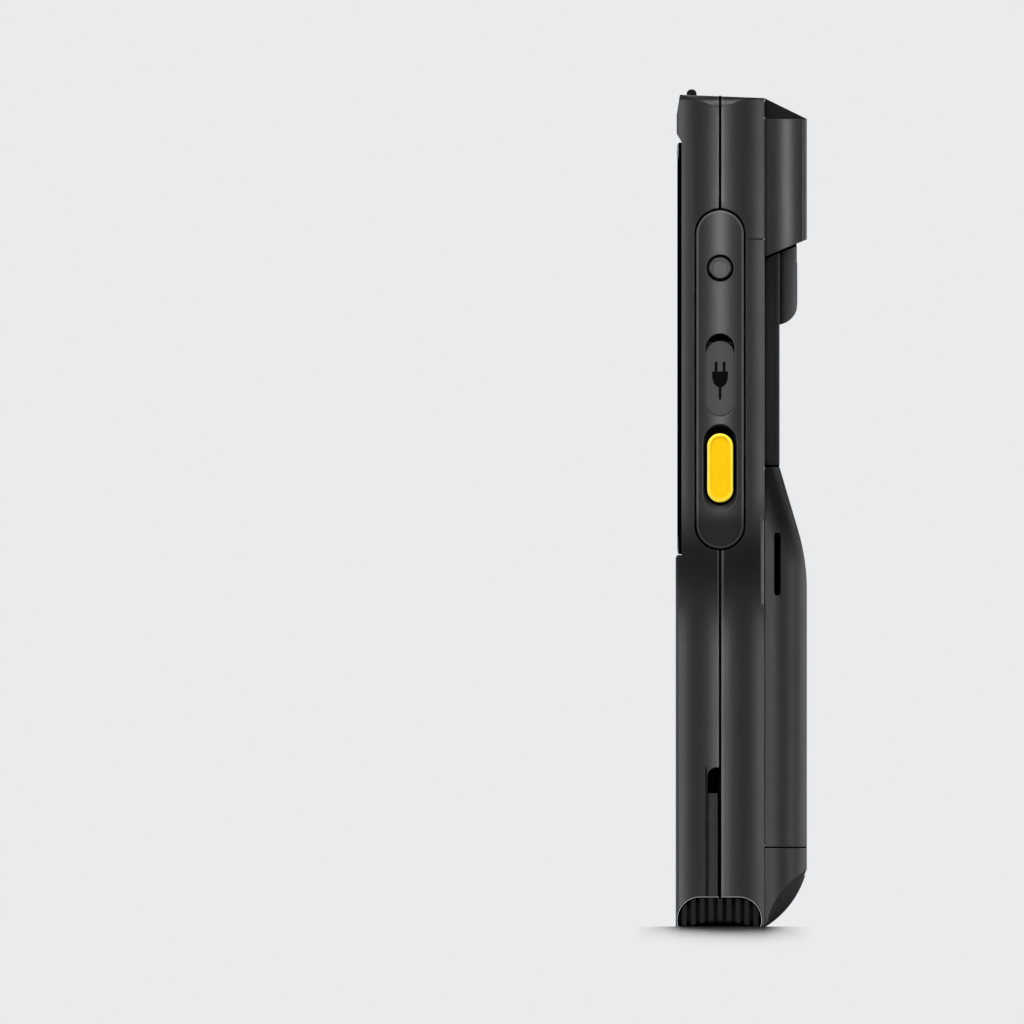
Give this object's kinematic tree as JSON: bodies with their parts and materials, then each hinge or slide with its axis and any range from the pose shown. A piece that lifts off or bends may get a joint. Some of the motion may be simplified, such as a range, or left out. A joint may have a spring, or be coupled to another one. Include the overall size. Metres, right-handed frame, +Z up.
{
  "type": "portable barcode data terminal",
  "caption": "Rugged hand-held data terminal with a screen, a front keypad, yellow side scan keys, a scanner head at the top of its back and a humped battery grip.",
  "frame": {"origin": "on the base, at the middle of its width, on the parting plane between the front and rear housings", "axes": "+Z up along the body from the base to the scanner head; -Y towards the user from the screen; +X towards the user's right, where the port flap is"},
  "size_m": [0.073, 0.0278, 0.1779],
  "materials": {
    "housing_plastic": "fine matt texture",
    "grip_plastic": "fine matt texture",
    "waist_plastic": "matt",
    "inlay_plastic": "satin",
    "side_key_black": "satin",
    "scan_key_yellow": "satin",
    "front_key_grey": "matt",
    "flap_rubber": "matt",
    "lens_glass": "polished, black border",
    "window_plastic": "polished, dark tint",
    "camera_glass": "polished",
    "bumper_rubber": "matt, ribbed",
    "seal_rubber": "matt",
    "rail_plastic": "satin",
    "latch_plastic": "satin",
    "board_green": "solder mask",
    "frame_metal": "as cast",
    "can_metal": "plated",
    "socket_metal": "plated",
    "screw_metal": "plated",
    "contact_gold": "gold plated",
    "lcd_dark": "smooth",
    "battery_wrap": "matt film",
    "module_black": "matt",
    "optics_red": "polished",
    "tray_grey": "matt"
  },
  "bodies": {
    "terminal": {"front_housing": "housing_plastic", "rear_housing": "housing_plastic", "head_cover": "housing_plastic", "tail_cover": "grip_plastic", "back_cover": "waist_plastic", "camera_bump": "waist_plastic", "side_plate_left": "inlay_plastic", "side_plate_right": "inlay_plastic", "display_lens": "lens_glass", "scan_window": "window_plastic", "camera_glass": "camera_glass", "bottom_bumper": "bumper_rubber", "top_bead": "bumper_rubber", "housing_seal": "seal_rubber", "dock_rail_left": "rail_plastic", "dock_rail_right": "rail_plastic", "main_board": "board_green", "keypad_board": "board_green", "switch_board_left": "board_green", "switch_board_right": "board_green", "mid_frame": "frame_metal", "shield_cans": "can_metal", "usb_socket": "socket_metal", "housing_screws": "screw_metal", "dock_contacts": "contact_gold", "battery_contacts": "contact_gold", "lcd_panel": "lcd_dark", "battery_pack": "battery_wrap", "scan_engine": "module_black", "camera_module": "module_black", "loudspeaker": "module_black", "earpiece": "module_black", "scan_optics": "optics_red", "card_tray": "tray_grey"},
    "key_star": {"key_star": "front_key_grey"},
    "key_0": {"key_0": "front_key_grey"},
    "key_hash": {"key_hash": "front_key_grey"},
    "key_7": {"key_7": "front_key_grey"},
    "key_8": {"key_8": "front_key_grey"},
    "key_9": {"key_9": "front_key_grey"},
    "key_4": {"key_4": "front_key_grey"},
    "key_5": {"key_5": "front_key_grey"},
    "key_6": {"key_6": "front_key_grey"},
    "key_1": {"key_1": "front_key_grey"},
    "key_2": {"key_2": "front_key_grey"},
    "key_3": {"key_3": "front_key_grey"},
    "key_back": {"key_back": "front_key_grey"},
    "key_home": {"key_home": "front_key_grey"},
    "key_menu": {"key_menu": "front_key_grey"},
    "key_left": {"key_left": "front_key_grey"},
    "scan_key_front": {"scan_key_front": "scan_key_yellow"},
    "key_right": {"key_right": "front_key_grey"},
    "power_key": {"power_key": "side_key_black"},
    "volume_up_key": {"volume_up_key": "side_key_black"},
    "volume_down_key": {"volume_down_key": "side_key_black"},
    "scan_key_left": {"scan_key_left": "scan_key_yellow"},
    "scan_key_right": {"scan_key_right": "scan_key_yellow"},
    "port_flap": {"port_flap": "flap_rubber"},
    "battery_door": {"battery_door": "grip_plastic"},
    "battery_latch": {"battery_latch": "latch_plastic"}
  },
  "joints": [
    {"name": "key_star_press", "type": "slide", "parent": "terminal", "child": "key_star", "axis": [0, 1, 0], "range_m": [0, 0.0004], "stiffness_N_per_m": 2500, "springref_m": -0.0002},
    {"name": "key_0_press", "type": "slide", "parent": "terminal", "child": "key_0", "axis": [0, 1, 0], "range_m": [0, 0.0004], "stiffness_N_per_m": 2500, "springref_m": -0.0002},
    {"name": "key_hash_press", "type": "slide", "parent": "terminal", "child": "key_hash", "axis": [0, 1, 0], "range_m": [0, 0.0004], "stiffness_N_per_m": 2500, "springref_m": -0.0002},
    {"name": "key_7_press", "type": "slide", "parent": "terminal", "child": "key_7", "axis": [0, 1, 0], "range_m": [0, 0.0004], "stiffness_N_per_m": 2500, "springref_m": -0.0002},
    {"name": "key_8_press", "type": "slide", "parent": "terminal", "child": "key_8", "axis": [0, 1, 0], "range_m": [0, 0.0004], "stiffness_N_per_m": 2500, "springref_m": -0.0002},
    {"name": "key_9_press", "type": "slide", "parent": "terminal", "child": "key_9", "axis": [0, 1, 0], "range_m": [0, 0.0004], "stiffness_N_per_m": 2500, "springref_m": -0.0002},
    {"name": "key_4_press", "type": "slide", "parent": "terminal", "child": "key_4", "axis": [0, 1, 0], "range_m": [0, 0.0004], "stiffness_N_per_m": 2500, "springref_m": -0.0002},
    {"name": "key_5_press", "type": "slide", "parent": "terminal", "child": "key_5", "axis": [0, 1, 0], "range_m": [0, 0.0004], "stiffness_N_per_m": 2500, "springref_m": -0.0002},
    {"name": "key_6_press", "type": "slide", "parent": "terminal", "child": "key_6", "axis": [0, 1, 0], "range_m": [0, 0.0004], "stiffness_N_per_m": 2500, "springref_m": -0.0002},
    {"name": "key_1_press", "type": "slide", "parent": "terminal", "child": "key_1", "axis": [0, 1, 0], "range_m": [0, 0.0004], "stiffness_N_per_m": 2500, "springref_m": -0.0002},
    {"name": "key_2_press", "type": "slide", "parent": "terminal", "child": "key_2", "axis": [0, 1, 0], "range_m": [0, 0.0004], "stiffness_N_per_m": 2500, "springref_m": -0.0002},
    {"name": "key_3_press", "type": "slide", "parent": "terminal", "child": "key_3", "axis": [0, 1, 0], "range_m": [0, 0.0004], "stiffness_N_per_m": 2500, "springref_m": -0.0002},
    {"name": "key_back_press", "type": "slide", "parent": "terminal", "child": "key_back", "axis": [0, 1, 0], "range_m": [0, 0.0004], "stiffness_N_per_m": 2500, "springref_m": -0.0002},
    {"name": "key_home_press", "type": "slide", "parent": "terminal", "child": "key_home", "axis": [0, 1, 0], "range_m": [0, 0.0004], "stiffness_N_per_m": 2500, "springref_m": -0.0002},
    {"name": "key_menu_press", "type": "slide", "parent": "terminal", "child": "key_menu", "axis": [0, 1, 0], "range_m": [0, 0.0004], "stiffness_N_per_m": 2500, "springref_m": -0.0002},
    {"name": "key_left_press", "type": "slide", "parent": "terminal", "child": "key_left", "axis": [0, 1, 0], "range_m": [0, 0.0004], "stiffness_N_per_m": 2500, "springref_m": -0.0002},
    {"name": "scan_key_front_press", "type": "slide", "parent": "terminal", "child": "scan_key_front", "axis": [0, 1, 0], "range_m": [0, 0.0004], "stiffness_N_per_m": 2500, "springref_m": -0.0002},
    {"name": "key_right_press", "type": "slide", "parent": "terminal", "child": "key_right", "axis": [0, 1, 0], "range_m": [0, 0.0004], "stiffness_N_per_m": 2500, "springref_m": -0.0002},
    {"name": "power_key_press", "type": "slide", "parent": "terminal", "child": "power_key", "axis": [-1, 0, 0], "range_m": [0, 0.0004], "stiffness_N_per_m": 2500, "springref_m": -0.0002},
    {"name": "scan_key_right_press", "type": "slide", "parent": "terminal", "child": "scan_key_right", "axis": [-1, 0, 0], "range_m": [0, 0.0004], "stiffness_N_per_m": 2500, "springref_m": -0.0002},
    {"name": "volume_up_key_press", "type": "slide", "parent": "terminal", "child": "volume_up_key", "axis": [1, 0, 0], "range_m": [0, 0.0004], "stiffness_N_per_m": 2500, "springref_m": -0.0002},
    {"name": "volume_down_key_press", "type": "slide", "parent": "terminal", "child": "volume_down_key", "axis": [1, 0, 0], "range_m": [0, 0.0004], "stiffness_N_per_m": 2500, "springref_m": -0.0002},
    {"name": "scan_key_left_press", "type": "slide", "parent": "terminal", "child": "scan_key_left", "axis": [1, 0, 0], "range_m": [0, 0.0004], "stiffness_N_per_m": 2500, "springref_m": -0.0002},
    {"name": "port_flap_hinge", "type": "hinge", "parent": "terminal", "child": "port_flap", "pos_m": [0.0365, 0, 0.1085], "axis": [0, 1, 0], "range_deg": [0, 110]},
    {"name": "battery_door_hinge", "type": "hinge", "parent": "terminal", "child": "battery_door", "pos_m": [0, 0.01264, 0.0976], "axis": [1, 0, 0], "range_deg": [0, 40]},
    {"name": "battery_latch_slide", "type": "slide", "parent": "terminal", "child": "battery_latch", "axis": [0, 0, 1], "range_m": [0, 0.0015]}
  ]
}
